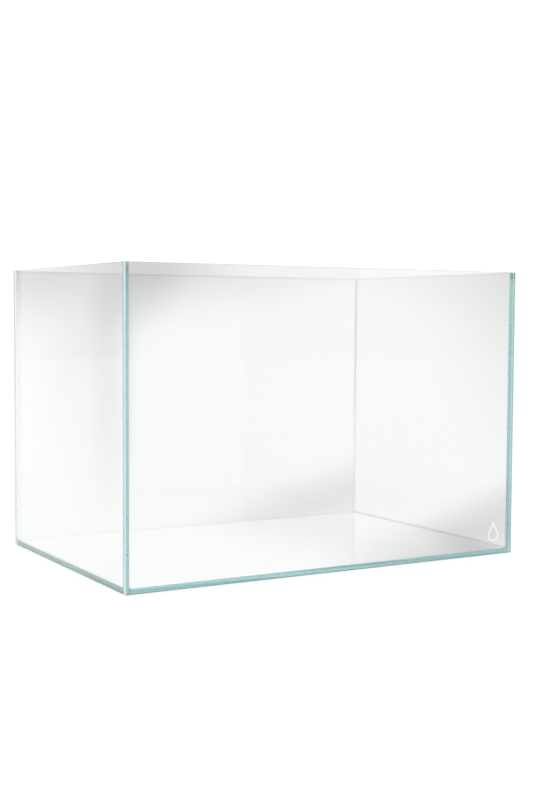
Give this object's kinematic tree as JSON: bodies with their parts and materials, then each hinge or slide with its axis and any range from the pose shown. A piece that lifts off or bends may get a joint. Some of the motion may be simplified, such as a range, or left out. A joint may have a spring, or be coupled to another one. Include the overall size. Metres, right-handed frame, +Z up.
{
  "type": "rimless aquarium tank",
  "caption": "Open-top rectangular fish tank of clear glass panes with bare ground edges, joined by clear silicone, with a small printed drop low on the front.",
  "frame": {"origin": "centre of the underside, on the plane that the tank stands on", "axes": "+X along the width to the viewer's right when facing the front pane, +Y from the front pane to the back pane, +Z up"},
  "size_m": [0.45, 0.3001, 0.3],
  "materials": {
    "glass": "clear low-iron glass, teal along its flat ground edges, polished on most of them and satin on the rims",
    "clear_silicone": "clear silicone, smooth and slightly hazy",
    "white_print": "thin white enamel print"
  },
  "bodies": {
    "root": {"front_pane": "glass", "back_pane": "glass", "left_pane": "glass", "right_pane": "glass", "base_pane": "glass", "bond_front_left": "clear_silicone", "bond_front_right": "clear_silicone", "bond_back_left": "clear_silicone", "bond_back_right": "clear_silicone", "bond_base_front": "clear_silicone", "bond_base_back": "clear_silicone", "bond_base_left": "clear_silicone", "bond_base_right": "clear_silicone", "seal_front_left": "clear_silicone", "seal_front_right": "clear_silicone", "seal_back_left": "clear_silicone", "seal_back_right": "clear_silicone", "seal_base_front": "clear_silicone", "seal_base_back": "clear_silicone", "seal_base_left": "clear_silicone", "seal_base_right": "clear_silicone", "corner_mark": "white_print"}
  },
  "joints": []
}
